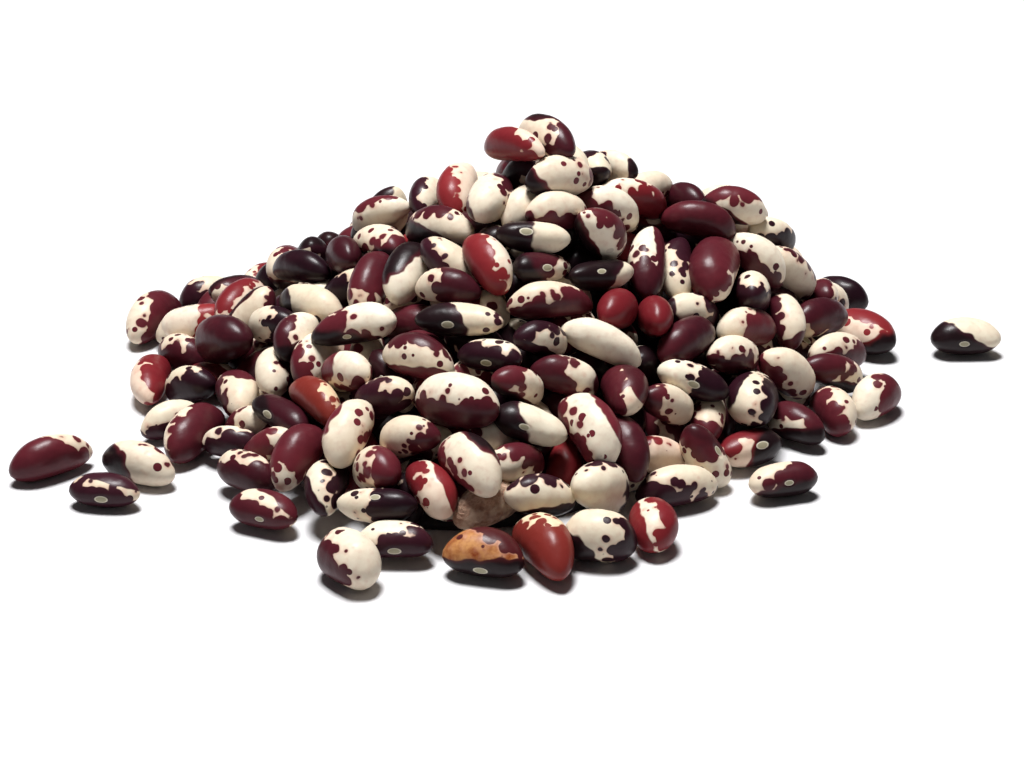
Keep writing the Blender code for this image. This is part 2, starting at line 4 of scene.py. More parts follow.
import bpy
import numpy as np
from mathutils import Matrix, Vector


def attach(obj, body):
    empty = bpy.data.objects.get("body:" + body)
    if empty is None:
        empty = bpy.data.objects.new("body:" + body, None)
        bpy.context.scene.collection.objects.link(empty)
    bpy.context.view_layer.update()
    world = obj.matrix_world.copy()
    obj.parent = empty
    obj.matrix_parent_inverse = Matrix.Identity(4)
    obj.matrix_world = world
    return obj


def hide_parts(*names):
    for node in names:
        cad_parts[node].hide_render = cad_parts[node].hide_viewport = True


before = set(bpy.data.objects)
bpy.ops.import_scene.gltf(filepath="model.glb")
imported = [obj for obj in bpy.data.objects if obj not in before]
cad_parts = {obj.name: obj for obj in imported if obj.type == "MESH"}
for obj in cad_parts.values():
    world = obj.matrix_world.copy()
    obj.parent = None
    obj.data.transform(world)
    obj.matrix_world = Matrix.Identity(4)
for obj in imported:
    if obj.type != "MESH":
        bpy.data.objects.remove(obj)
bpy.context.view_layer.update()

millimetre = 0.001

# Sizes are in millimetres until a mesh is made
bean = {
    "length": 14.6, "width": 8.5, "thickness": 7.3,
    "bend": 0.16,  # how far the ends curve to the seam side, as a share of half the length
    "fullness": 0.12,  # how much fuller than an egg it is towards its ends
    "shortest": 12.8, "longest": 17.5, "narrowest": 6.3, "widest": 10.0,
    "widthShare": 1.02, "thicknessShare": 0.9,  # of the width that shows
}
heap = {
    "height": 48.5, "bluntness": 0.06, "peakX": 4.0,
    "footRadii": (77, 80, 77, 75, 71, 77, 77, 70, 79, 76, 64, 64),  # every 30 degrees from +X
    "swellings": (  # x, y, height, spread
        (5.0, -3.0, 6.8, 6.2), (44.5, 13.5, 12.0, 7.6), (22.0, 14.0, 3.5, 10.0), (-25.0, 12.0, 3.5, 5.0)),
    "halfSunk": 4.2,  # from the heap's surface to an outer bean's middle
    "floorRest": 3.7,  # the middle of a bean that lies on the table
    "toe": 3.5,  # how quickly the level drops to the table at the foot
    "slopeStep": 1.5,  # over which the slope is measured
}
view = {"tilt": math.radians(26.0), "distance": 450.0, "aim": 1.2, "focal": 2340.0,
        "middle": (512.0, 381.5), "columns": 1024}
sight = {
    "near": 320.0, "far": 560.0, "steps": 961,  # where along a sight line the heap is looked for
    "margin": 3.0,  # how far past the foot it may still be met
    "mostLean": 1.2,  # how far an axis leans to follow the slope
    "lying": 0.8,  # a bean whose middle is no higher over the table's level lies flat
    "usualLength": (0.85, 1.15),  # as shares of the mean bean's
    "tipSlack": 0.15,  # radians that its length may be off before a bean is tipped
    "hiddenSeam": (0.6, 0.8),  # a seam that doesn't show: away from the eye, and down
}

wholly = (0, 150)  # a patch that covers a bean

# The beans that this view shows, one row each: column, row, angle of the long axis, length, width and
# how far it stands out of the layer; its coat: kind, patch (angle in the picture, percent of the bean,
# any tilt to the viewer) and second patch (angle, percent, and how near black, if it is darker); and
# where its seam shows, if it does, from -1 for the lower edge to 1 for the upper
nearBeans = (
    # peak
    (514, 146, -2, 70, 33, 1, "red", (215, 80)),
    (547, 138, -35, 66, 38, 0, "maroon", (350, 50), (90, 10, 1)),
    (560, 178, 15, 70, 42, 1, "maroon", (30, 14), (215, 28, 1)),
    (491, 198, -70, 56, 46, 0.5, "maroon", (35, 22), (195, 10, 1)),
    (528, 207, 10, 70, 42, -2, "maroon", (270, 12)),
    (557, 212, 0, 66, 40, -2.5, "maroon", (270, 50)),
    (533, 237, -5, 75, 36, 0, "dark", None, (178, 52, 1), 0.3),
    (600, 234, -50, 68, 44, 0.5, "maroon", (42, 36), (205, 30, 1)),
    (609, 209, -15, 66, 40, -1.5, "maroon", (225, 55)),
    (634, 199, -8, 66, 36, 0, "red", (330, 62)),
    (613, 168, 0, 48, 34, -1, "dark", (160, 25), (350, 20, 1)),
    (645, 193, 10, 60, 36, -1, "maroon", (300, 10)),
    (648, 262, 85, 76, 38, 0, "maroon", (275, 60), (10, 25)),
    (678, 268, 90, 66, 34, -1, "dark", (45, 45)),
    (458, 190, 75, 62, 40, 0, "red", (195, 50)),
    (428, 197, 45, 44, 35, -1, "dark", (170, 35), (270, 20, 1)),
    (438, 229, 0, 72, 42, 0.5, "maroon", (95, 22), (240, 42, 1)),
    # left of the peak
    (380, 244, -10, 56, 36, 0, "maroon", (290, 62), (275, 40, 1), -0.55),
    (407, 273, 60, 68, 46, 0.5, "maroon", (85, 25), (130, 40, 1)),
    (371, 284, 70, 70, 42, -2, "maroon", (60, 80)),
    (345, 256, 0, 40, 38, 0, "maroon", wholly),
    (348, 292, 30, 68, 40, -2, "dark", (270, 90)),
    (380, 214, 22, 62, 33, -0.5, "maroon", (120, 25)),
    (300, 268, -3, 60, 32, 0.5, "dark", wholly),
    # right of the peak
    (699, 221, -12, 78, 38, 0.5, "maroon", wholly),
    (714, 268, 65, 74, 52, 1.5, "maroon", (140, 90)),
    (735, 207, -12, 66, 38, 0, "maroon", (90, 45), (235, 35, 1)),
    (683, 201, -5, 54, 34, -1, "maroon", wholly),
    (773, 236, -30, 52, 34, -0.5, "dark", (290, 60)),
    (758, 260, -45, 70, 40, -0.5, "maroon", (235, 55)),
    (789, 273, -40, 66, 38, -0.5, "maroon", (45, 8), (290, 6)),
    (752, 296, 0, 44, 44, 0, "dark", (250, 75)),
    # middle, on the left
    (154, 319, 40, 64, 42, 0, "maroon", (345, 74)),
    (209, 296, 10, 48, 38, 0, "dark", (260, 75)),
    (188, 328, 25, 66, 40, 0, "maroon", (20, 72)),
    (184, 355, 0, 50, 40, -1, "maroon", (280, 85)),
    (225, 340, 15, 64, 48, 0.5, "maroon", wholly),
    (240, 303, 45, 64, 38, -0.5, "red", (130, 40)),
    (262, 286, 30, 60, 38, -1, "red", (20, 50)),
    (310, 306, -15, 72, 40, -0.5, "dark", (265, 20), (190, 22, 1)),
    (275, 325, 15, 64, 38, -0.5, "dark", (350, 66)),
    (297, 336, 60, 60, 38, -1, "maroon", (190, 50), (285, 40, 1)),
    (277, 371, 65, 56, 42, 0, "maroon", (5, 38), (255, 8)),
    (314, 358, 70, 66, 40, -1, "maroon", (200, 40)),
    (355, 326, 18, 88, 42, 0.8, "maroon", (228, 55), (262, 35, 1), -0.45),
    (347, 373, 10, 52, 42, 0, "maroon", (300, 32), (165, 20)),
    # middle
    (447, 287, -3, 68, 36, 0, "maroon", (345, 62, 35)),
    (488, 263, -50, 70, 42, 0.8, "red", (205, 75)),
    (540, 267, 8, 60, 32, 0, "maroon", (125, 78), (215, 50, 1), 0),
    (599, 275, 5, 66, 34, 0.5, "dark", None, (150, 78, 1), 0.2),
    (551, 302, 0, 88, 38, 0.3, "maroon", (285, 68)),
    (460, 320, -2, 90, 38, 0.5, "dark", (0, 6), (208, 52, 1), -0.3),
    (418, 358, -15, 75, 46, 0, "maroon", (80, 33), (262, 30)),
    (491, 356, -5, 66, 37, 0, "dark", (240, 72, 15), None, -0.4),
    (542, 340, -15, 56, 36, 0, "dark", (110, 45), (245, 35)),
    (603, 343, -30, 88, 38, 0.8, "maroon"),
    (617, 311, 0, 44, 40, 0.3, "red", wholly),
    (656, 319, 0, 40, 40, 0.3, "red", wholly),
    (692, 313, 0, 60, 38, -1.5, "dark", (0, 30), (190, 25, 1)),
    (686, 341, 18, 68, 42, 0.5, "maroon", wholly),
    (733, 356, -15, 60, 40, -0.5, "maroon", (268, 58)),
    (747, 328, 25, 60, 40, 0, "maroon", (335, 60)),
    (785, 320, -65, 62, 38, 0, "maroon", (190, 45), (290, 25)),
    # right end
    (820, 318, 10, 60, 38, -0.5, "maroon", (55, 85)),
    (840, 294, -15, 44, 34, 0, "dark", wholly),
    (862, 334, -15, 72, 44, 0.3, "red", (65, 33), (290, 35, 1), -0.8),
    (838, 353, 0, 60, 38, -0.8, "maroon", (290, 60)),
    (834, 373, -20, 64, 36, 0.3, "maroon", (140, 70), (265, 30, 1)),
    # lower, on the left
    (152, 379, 80, 60, 38, 0, "red", (12, 74)),
    (190, 386, 10, 56, 38, 0, "dark", (300, 84)),
    (172, 420, 15, 60, 36, -0.3, "dark", (285, 50)),
    (196, 436, 55, 76, 46, 0.5, "maroon", (330, 102)),
    (237, 395, -75, 58, 42, 0, "maroon", (205, 33), (80, 16)),
    (282, 416, -30, 60, 36, 0.5, "maroon", wholly, (200, 35, 1), -0.3),
    (247, 427, 30, 50, 36, -1, "maroon", (165, 28), (320, 12)),
    (232, 444, 0, 52, 34, -1, "dark", (280, 90)),
    (316, 401, -40, 64, 34, 0, "brick", (210, 88)),
    (268, 449, 30, 60, 38, -1.5, "maroon", (180, 65), (270, 30)),
    (248, 472, -20, 60, 40, 0, "maroon", (265, 88)),
    (297, 456, 55, 76, 46, 0.5, "maroon", (75, 82)),
    (349, 432, 62, 76, 46, 0.8, "maroon", (350, 22), (150, 10)),
    (383, 398, 20, 64, 40, -1, "dark", (240, 78)),
    (408, 438, 15, 64, 42, 0, "maroon", (325, 38), (190, 8)),
    (376, 471, 0, 52, 46, -0.5, "maroon", (340, 54, 30)),
    (327, 487, 70, 60, 42, -0.5, "dark", (10, 46), (210, 24)),
    # lower middle
    (431, 488, -50, 68, 42, 0.3, "red", (170, 35), (25, 28)),
    (457, 402, -10, 90, 56, 1, "maroon", (265, 60)),
    (471, 464, -45, 76, 50, 0.8, "maroon", (215, 28), (50, 15, 1)),
    (493, 443, 0, 60, 40, -1.5, "maroon", (150, 25)),
    (517, 463, 0, 60, 40, -2, "maroon", (60, 50)),
    (519, 386, -15, 56, 34, 0, "maroon", (150, 60), (240, 30, 1)),
    (565, 377, -8, 70, 40, 0, "maroon", (190, 70), (350, 10, 1)),
    (624, 391, -70, 56, 46, 0, "maroon", (185, 65), (30, 30, 0.5)),
    (530, 425, -12, 78, 42, 0, "dark", None, (195, 45, 1), -0.2),
    (590, 428, -55, 84, 52, 1, "maroon", (205, 32), (30, 15)),
    (625, 447, -60, 76, 44, -0.8, "maroon", wholly),
    (600, 489, -20, 64, 52, 0.5, "dark", (85, 6), (345, 8, 1)),
    (541, 496, 0, 76, 42, -0.5, "dark", (95, 22), (280, 25, 1)),
    (378, 505, -2, 82, 40, 0.3, "dark", (350, 64), None, 0.4),
    # lower, on the right
    (660, 457, -10, 66, 40, -0.5, "red", (88, 12)),
    (667, 404, -20, 60, 38, 0, "maroon", (195, 50), (185, 30, 0.5)),
    (693, 381, -30, 76, 38, 0.3, "dark", (335, 58), None, -0.2),
    (754, 399, 60, 58, 54, 0.8, "dark", (345, 42), (150, 22)),
    (788, 373, -38, 66, 42, 0.3, "maroon", (215, 36)),
    (709, 417, 80, 56, 34, -0.5, "maroon", (235, 50)),
    (704, 457, -60, 72, 42, 0, "maroon", (75, 50, 20), (60, 30, 0.5), 0.7),
    (748, 449, 0, 62, 42, 0, "red", (110, 50), (345, 45, 1), 0),
    (796, 424, -50, 46, 38, 0, "maroon", (70, 60), (275, 45, 1)),
    (833, 411, -50, 54, 43, 0.3, "maroon", (210, 68)),
    (876, 398, 30, 54, 42, 0.3, "maroon", (10, 48)),
    # front row, on the table
    (265, 510, -12, 70, 42, 0, "maroon", (235, 62), (50, 26), -0.5),
    (349, 561, -30, 64, 56, 0, "maroon", (205, 40)),
    (395, 540, 3, 78, 42, 0, "dark", (285, 68), None, -0.6),
    (485, 554, -5, 84, 50, 0, "tan", (60, 30), (270, 42, 1), -0.75),
    (487, 505, 20, 76, 44, -1, "husk"),
    (545, 546, -50, 80, 52, 0, "brick", (265, 90)),
    (598, 542, 0, 56, 56, 0, "dark", (340, 36), (225, 26, 1)),
    (652, 525, -70, 52, 48, 0, "red", (10, 46), (200, 38)),
    (677, 487, 2, 84, 42, 0, "dark", (255, 58)),
)
looseBeans = (
    (51, 457, 15, 86, 43, 0, "maroon", (255, 88)),
    (105, 487, -5, 66, 38, 0, "dark", (250, 62), (75, 30), -0.5),
    (138, 463, -15, 76, 42, 0, "maroon", (45, 10), (205, 36, 1)),
    (782, 478, 8, 68, 40, 0, "maroon", (320, 60, 10), (285, 35, 1), -0.2),
    (965, 337, 0, 70, 40, 0, "dark", None, (240, 60, 1), -0.4),
)


def wholeRow(row):
    # with None for what a row leaves out at its end
    return (*row, None, None, None)[:10]


def unit(vectors):
    # each vector at length 1
    length = np.linalg.norm(vectors, axis=-1, keepdims=True)
    return vectors / np.maximum(length, 1e-9)


# The view and the heap's surface

forward = np.array([0.0, math.cos(view["tilt"]), -math.sin(view["tilt"])])
right = np.array([1.0, 0.0, 0.0])
up = np.array([0.0, math.sin(view["tilt"]), math.cos(view["tilt"])])
eye = np.array([0.0, 0.0, view["aim"]]) - forward * view["distance"]


def sightLine(column, row):
    # from the eye through a point of the picture
    across = (column - view["middle"][0]) / view["focal"]
    down = (row - view["middle"][1]) / view["focal"]
    return unit(forward + right * across - up * down)


def footRadius(angle):
    # closed outline through the foot radii: their Fourier waves summed
    count = len(heap["footRadii"])
    waves = np.fft.rfft(np.array(heap["footRadii"], float)) / count
    radius = np.full(np.shape(angle), waves[0].real)
    for k in range(1, count // 2 + 1):
        share = 1.0 if 2 * k == count else 2.0
        radius = radius + share * (waves[k].real * np.cos(k * angle) - waves[k].imag * np.sin(k * angle))
    return radius


def heapSurface(x, y):
    # cone of height (1 - sqrt(share squared + bluntness squared) + bluntness), share being the way out
    # to the foot, and a Gaussian bump for each swelling
    reach = footRadius(np.arctan2(y, x))
    inward = np.clip(1.0 - np.hypot(x, y) / reach, 0.0, 1.0)
    share = np.hypot(x - heap["peakX"] * inward, y) / reach
    blunt = heap["bluntness"]
    height = heap["height"] * (1.0 - np.sqrt(share**2 + blunt**2) + blunt)
    for middleX, middleY, rise, spread in heap["swellings"]:
        away = (x - middleX) ** 2 + (y - middleY) ** 2
        height = height + rise * np.exp(-away / (2 * spread**2))
    return height


def restLevel(x, y, out=0.0):
    # height of a bean's middle: the surface less half a bean, less toe exp(-height / toe), so that no
    # bean hangs just over the table, and never under the table's own level
    above = heapSurface(x, y) - heap["halfSunk"] + out - heap["floorRest"]
    above = above - heap["toe"] * np.exp(-np.maximum(above, 0.0) / heap["toe"])
    return heap["floorRest"] + np.maximum(above, 0.0)


def surfaceNormal(x, y):
    # upright vector leaned by the slopes in x and y
    step = heap["slopeStep"]
    slopeX = (restLevel(x + step, y) - restLevel(x - step, y)) / (2 * step)
    slopeY = (restLevel(x, y + step) - restLevel(x, y - step)) / (2 * step)
    return unit(np.array([-slopeX, -slopeY, 1.0]))


def meetHeap(column, row, out, onTable):
    # where a sight line first drops to the rest level, and by how much it misses it
    line = sightLine(column, row)
    if onTable:
        far = (heap["floorRest"] - eye[2]) / line[2]
        return eye + far * line, 0.0
    points = eye + np.linspace(sight["near"], sight["far"], sight["steps"])[:, None] * line
    x, y, z = points.T
    above = z - restLevel(x, y, out)
    above[np.hypot(x, y) > footRadius(np.arctan2(y, x)) + sight["margin"]] = np.inf
    hits = np.nonzero(above <= 0.0)[0]
    if len(hits) == 0:
        nearest = np.argmin(above)
        return points[nearest], above[nearest]
    after = hits[0]
    if not np.isfinite(above[after - 1]):
        return points[after], 0.0
    share = above[after - 1] / (above[after - 1] - above[after])
    return points[after - 1] + share * (points[after] - points[after - 1]), 0.0


def pictureAxes(line):
    # right and up as the picture shows them along a sight line
    side = unit(np.cross(line, up))
    return side, np.cross(side, line)


def seenBean(column, row, angle, length, width, out, seam, onTable):
    # middle, axes and half sizes of a bean from how the view shows it: its long axis is the shown one,
    # leaned onto the heap's slope or laid on the table, and tipped where its length then looks wrong
    middle, miss = meetHeap(column, row, out, onTable)
    line = sightLine(column, row)
    side, above = pictureAxes(line)
    turn = math.radians(angle)
    flat = math.cos(turn) * side + math.sin(turn) * above
    normal = surfaceNormal(middle[0], middle[1])
    lean = np.clip(-(flat @ normal) / (line @ normal), -sight["mostLean"], sight["mostLean"])
    longAxis = unit(flat + lean * line)
    flatOnTable = middle[2] < heap["floorRest"] + sight["lying"]
    if flatOnTable:
        longAxis = unit(longAxis * [1, 1, 0])

    size = view["focal"] / ((middle - eye) @ forward)
    shownWidth, shownLength = width / size, length / size
    shows = math.sqrt(1.0 - (longAxis @ line) ** 2)
    full = math.sqrt(max(shownLength**2 - shownWidth**2 * (1.0 - shows**2), 0.0)) / shows
    if not flatOnTable:
        usual = 2.0 * shownWidth / (bean["width"] + bean["thickness"])
        full = max(full, bean["length"] * np.clip(usual, *sight["usualLength"]))
    full = np.clip(full, bean["shortest"], bean["longest"])
    slim, short = shownWidth / full, min(shownLength / full, 1.0)
    tip = math.acos(math.sqrt(min(max((short**2 - slim**2) / (1.0 - slim**2), 0.0), 1.0)))
    if not flatOnTable and abs(tip - math.acos(shows)) > sight["tipSlack"]:
        longAxis = math.cos(tip) * flat + math.copysign(math.sin(tip), lean) * line

    upper = math.cos(turn) * above - math.sin(turn) * side
    if seam is None:
        toSeam = sight["hiddenSeam"][0] * line - sight["hiddenSeam"][1] * upper
    else:
        toSeam = seam * upper - math.sqrt(1.0 - seam**2) * line
    wide = np.clip(shownWidth, bean["narrowest"], bean["widest"])
    half = [full / 2, wide * bean["widthShare"] / 2, wide * bean["thicknessShare"] / 2]
    return middle, longAxis, -toSeam, half, out + miss, line


# Layers of beans as arrays, one row for each bean

strewing = {
    "seed": 7, "radius": 84.0, "inset": 4.5, "neighbourReach": 18.5,
    "bareFront": -20.0, "bareSide": 62.0,  # no strewn bean lies on the table beyond these
    "bareOdds": 0.35,  # of the other places on the table stay empty
    "lengths": (0.95, 0.1), "sizes": (0.86, 0.2),  # least, and how much more at most
    "directions": 9, "tilts": (1.1, 0.1), "tiltedFrom": 2.0,  # tilts on the heap and by the table
    "outer": {"tries": 12000, "out": (-1.6, 0.6), "overlap": 1.1, "lowest": -math.inf, "rounds": 60},
    "under": {"tries": 9000, "out": (-7.6, -5.8), "overlap": 1.6, "lowest": 0.8, "rounds": 40},
}
balls = {"places": (-0.62, -0.33, 0.0, 0.33, 0.62), "least": 0.05}
press = {
    "lookAgain": 10,  # rounds between searches for neighbours
    "share": 0.5, "swing": 0.6, "seenSwing": 0.25,
    "onLine": 1.3, "offLine": 0.35,  # how freely a seen bean moves along its sight line and off
    "pinOff": 0.25, "pinOn": 0.05,  # how strongly it is drawn back across that line and along it
    "rise": 0.1,  # how strongly a strewn bean is drawn to its level
    "floorGap": 0.05,
}


def addBean(layer, middle, longAxis, wideAxis, half, out, line=(0.0, 0.0, 0.0), seen=0.0):
    rows = {"middle": middle, "long": longAxis, "wide": wideAxis, "half": half, "out": out,
            "line": line, "pin": middle, "seen": seen}
    for name, row in rows.items():
        row = np.array([row], float)
        layer[name] = np.concatenate([layer[name], row]) if name in layer else row


def seenLayer(rows, onTable=False):
    layer = {}
    for row in rows:
        addBean(layer, *seenBean(*row[:6], wholeRow(row)[9], onTable), seen=1.0)
    return layer


def innerBalls(middle, longAxis, half):
    # balls along each bean: radius = girth times sqrt(1 - along squared / focal length squared)
    along = half[:, :1] * np.array(balls["places"])
    length, girth = half[:, :1], (half[:, 1:2] + half[:, 2:]) / 2
    radius = girth * np.sqrt(np.maximum(1.0 - along**2 / (length**2 - girth**2), balls["least"]))
    return middle[:, None] + along[:, :, None] * longAxis[:, None], radius, along


def deepestOverlap(layer, middle, axes, half):
    # for each of several long axes of a new bean, how deep its balls would lie in its neighbours'
    near = np.linalg.norm(layer["middle"] - middle, axis=1) < strewing["neighbourReach"]
    if not near.any():
        return np.full(len(axes), -np.inf)
    mine, myRadius, _ = innerBalls(middle[None], axes, half[None])
    theirs, radius, _ = innerBalls(layer["middle"][near], layer["long"][near], layer["half"][near])
    gap = np.linalg.norm(mine[:, :, None] - theirs.reshape(1, 1, -1, 3), axis=3)
    return (myRadius[:, :, None] + radius.reshape(1, 1, -1) - gap).max(axis=(1, 2))


def strew(layer, draws, kind, fixed=0):
    # random places on the heap's surface; each takes the best of a few directions, if one fits there
    count = strewing["directions"]
    leastLength, moreLength = strewing["lengths"]
    leastSize, moreSize = strewing["sizes"]
    leastOut, mostOut = kind["out"]
    for _ in range(kind["tries"]):
        draw = draws.random(10)
        radius, angle = strewing["radius"] * math.sqrt(draw[0]), 2 * math.pi * draw[1]
        if radius > footRadius(angle) - strewing["inset"]:
            continue
        x, y = radius * math.cos(angle), radius * math.sin(angle)
        out = leastOut + (mostOut - leastOut) * draw[2]
        bare = draw[3] < strewing["bareOdds"]
        bare = bare or y < strewing["bareFront"] or abs(x) > strewing["bareSide"]
        height = restLevel(x, y, out)
        level = heapSurface(x, y) - heap["halfSunk"] + out
        if level < kind["lowest"] or (height == heap["floorRest"] and bare):
            continue
        middle = np.array([x, y, height])
        length = bean["length"] * (leastLength + moreLength * draw[4])
        half = np.array([length, bean["width"], bean["thickness"]]) / 2
        half = half * (leastSize + moreSize * draw[5])
        normal = surfaceNormal(x, y)
        across = unit(np.cross([0.0, 1.0, 0.0], normal))
        turns = math.pi * (draw[6] + np.arange(count) / count)
        low = height <= heap["floorRest"] + strewing["tiltedFrom"]
        tilt = (draw[7] - 0.5) * strewing["tilts"][int(low)]
        flat = np.cos(turns)[:, None] * across + np.sin(turns)[:, None] * np.cross(normal, across)
        axes = flat * math.cos(tilt) + normal * math.sin(tilt)
        overlap = deepestOverlap(layer, middle, axes, half)
        best = np.argmin(overlap)
        if overlap[best] < kind["overlap"]:
            roll = 2 * math.pi * draw[8]
            upright = unit(np.cross(axes[best], np.cross(normal, axes[best])))
            wideAxis = math.cos(roll) * upright + math.sin(roll) * np.cross(axes[best], upright)
            addBean(layer, middle, axes[best], wideAxis, half, out)
    pressApart(layer, kind["rounds"], fixed)


def sumRows(indices, rows, count):
    return np.stack([np.bincount(indices, rows[:, k], count) for k in range(3)], axis=1)


def pressApart(layer, rounds, fixed=0):
    # each round moves overlapping beans apart by their shares of the overlap, turns them by its lever
    # and draws them back to their level; seen beans slide along their sight lines, the fixed ones stay
    count = len(layer["middle"])
    seen, line, half = layer["seen"][:, None], layer["line"], layer["half"]
    free = (np.arange(count) >= fixed)[:, None]
    girth = (half[:, 1] + half[:, 2]) / 2
    for turn in range(rounds):
        middle, longAxis = layer["middle"], layer["long"]
        if turn % press["lookAgain"] == 0:
            apart = np.linalg.norm(middle[:, None] - middle[None], axis=2)
            first, second = np.nonzero(np.triu(apart < strewing["neighbourReach"], 1))
        centre, radius, along = innerBalls(middle, longAxis, half)
        each = centre.shape[1]
        gap = (centre[first][:, :, None] - centre[second][:, None]).reshape(len(first), each**2, 3)
        reach = (radius[first][:, :, None] + radius[second][:, None]).reshape(len(first), each**2)
        overlap = reach - np.linalg.norm(gap, axis=2)
        deepest = overlap.argmax(axis=1)
        rows = np.nonzero(overlap[np.arange(len(first)), deepest] > 0.0)[0]
        deepest, i, j = deepest[rows], first[rows], second[rows]
        push = unit(gap[rows, deepest]) * overlap[rows, deepest][:, None]
        leverI, leverJ = along[i, deepest // each][:, None], along[j, deepest % each][:, None]
        both = np.concatenate([i, j])
        move = sumRows(both, np.concatenate([push, -push]), count)
        swing = sumRows(both, np.concatenate([push * leverI, -push * leverJ]), count)
        touching = np.bincount(both, minlength=count)[:, None]
        share = press["share"] / np.sqrt(np.maximum(touching, 1))

        move = move * share
        onLine = (move * line).sum(axis=1, keepdims=True) * line
        move = np.where(seen > 0, press["onLine"] * onLine + press["offLine"] * (move - onLine), move)
        held = np.where(seen > 0, press["seenSwing"], 1.0)
        swing = swing * share * press["swing"] / half[:, :1] ** 2 * held
        swing = swing - (swing * longAxis).sum(axis=1, keepdims=True) * longAxis
        moved = middle + move
        turned = unit(longAxis + swing)

        rise = (restLevel(moved[:, 0], moved[:, 1], layer["out"]) - moved[:, 2])[:, None]
        strayed = layer["pin"] - moved
        onLine = (strayed * line).sum(axis=1, keepdims=True) * line
        upward = rise * np.array([0.0, 0.0, press["rise"]])
        pull = press["pinOff"] * (strayed - onLine) + press["pinOn"] * onLine
        moved = moved + np.where(seen > 0, pull, upward)
        low = np.sqrt((turned[:, 2] * half[:, 0]) ** 2 + (1.0 - turned[:, 2] ** 2) * girth**2)
        moved[:, 2] = np.maximum(moved[:, 2], low + press["floorGap"])
        layer["middle"] = np.where(free, moved, middle)
        layer["long"] = np.where(free, turned, longAxis)


def layOut():
    # the outer layer as the solids have it, then a layer under it that shows in its gaps
    layer = seenLayer(nearBeans)
    pressApart(layer, strewing["outer"]["rounds"])
    draws = np.random.default_rng(strewing["seed"])
    strew(layer, draws, strewing["outer"])
    outer = len(layer["middle"])
    strew(layer, draws, strewing["under"], fixed=outer)
    print("beans in the outer layer:", outer, "and under it:", len(layer["middle"]) - outer)
    return layer, outer


# Bean meshes: a cage of 40 squares each, which Subdivision Surface rounds

def boxCage():
    # the skin of a block of 4 x 2 x 2 cells blown up to a unit sphere: x sqrt(1 - y2/2 - z2/2 + y2 z2/3)
    # and so on, with its squares wound outwards
    numbers = np.arange(45).reshape(5, 3, 3)
    squares = []
    for axis in range(3):
        for side in (0, -1):
            sheet = np.take(numbers, side, axis=axis)
            quads = np.stack([sheet[:-1, :-1], sheet[1:, :-1], sheet[1:, 1:], sheet[:-1, 1:]], axis=-1)
            quads = quads.reshape(-1, 4)
            squares.append(quads if (side == -1) != (axis == 1) else quads[:, ::-1])
    used, squares = np.unique(np.concatenate(squares), return_inverse=True)
    block = np.argwhere(numbers >= 0)[used] / [2, 1, 1] - 1
    after, last = np.roll(block**2, -1, axis=1), np.roll(block**2, -2, axis=1)
    return block * np.sqrt(1 - after / 2 - last / 2 + after * last / 3), squares.reshape(-1, 4)


def smoothingWeights(squares, count):
    # where subdivision leaves a cage point: (n2 own + 4 along each edge + 1 across each square) / n (n + 5)
    weights = np.zeros((count, count))
    for corner in range(4):
        own, after, across, before = np.roll(squares, -corner, axis=1).T
        np.add.at(weights, (own, after), 2.0)
        np.add.at(weights, (own, before), 2.0)
        np.add.at(weights, (own, across), 1.0)
    valence = np.bincount(squares.ravel())
    weights += np.diag(valence**2)
    return weights / (valence * (valence + 5))[:, None]


ball, squares = boxCage()
cageFromSurface = np.linalg.inv(smoothingWeights(squares, len(ball)))

shape = {
    "seed": 11, "taper": 0.09, "bendSpread": 0.4, "lump": 0.024, "blunt": 0.1,
    "ripples": (2.0, 2.2, 3.0),  # waves round the bean, their slant, and waves along it
    "tableGap": 0.12, "looseGap": 0.03, "levels": 2,
}


def fineBall(rows=16, columns=32):
    # points of a unit sphere by height and turn: (sqrt(1 - h2) cos, sqrt(1 - h2) sin, h)
    height = np.repeat(np.linspace(-1.0, 1.0, rows), columns)
    turn = np.tile(2 * math.pi * np.arange(columns) / columns, rows)
    flat = np.sqrt(1.0 - height**2)
    return np.stack([flat * np.cos(turn), flat * np.sin(turn), height], axis=1)


def beanPoints(layer, chosen, directions):
    # surface points of the chosen beans towards directions (s, w, t) of their own: long = s half0,
    # wide = w half1 girth + bend (1/3 - s2), thick = t half2 girth, with girth =
    # hypot(w, t) to the power -fullness, times 1 + taper s + a slow ripple round the bean
    draws = np.random.default_rng(shape["seed"]).random((len(layer["middle"]), 6))[chosen]
    half = layer["half"][chosen]
    axes = beanAxes(layer, chosen)
    s, w, t = directions.T[:, None, :]
    taper, bendShare, phase, otherPhase, blunt, _ = draws.T[:, :, None] - 0.5
    fullness = bean["fullness"] + 2 * shape["blunt"] * blunt
    around, slant, lengthwise = shape["ripples"]
    ripple = np.sin(around * np.arctan2(t, w) + slant * s + 2 * math.pi * phase)
    ripple = ripple + np.sin(lengthwise * s + 2 * math.pi * otherPhase)
    girth = np.maximum(np.hypot(w, t), 1e-3) ** -fullness
    girth = girth * (1.0 + 2 * shape["taper"] * taper * s + shape["lump"] * ripple)
    bend = bean["bend"] * (1.0 + 2 * shape["bendSpread"] * bendShare) * half[:, :1]
    own = np.stack([
        s * half[:, :1] * np.ones_like(girth),
        w * half[:, 1:2] * girth + bend * (1 / 3 - s**2),
        t * half[:, 2:] * girth], axis=2)
    seamDepth = half[:, 1:2] * (1.0 + shape["lump"] * ripple.mean()) - bend / 3
    return layer["middle"][chosen][:, None] + np.einsum("bpi,bij->bpj", own, axes), seamDepth


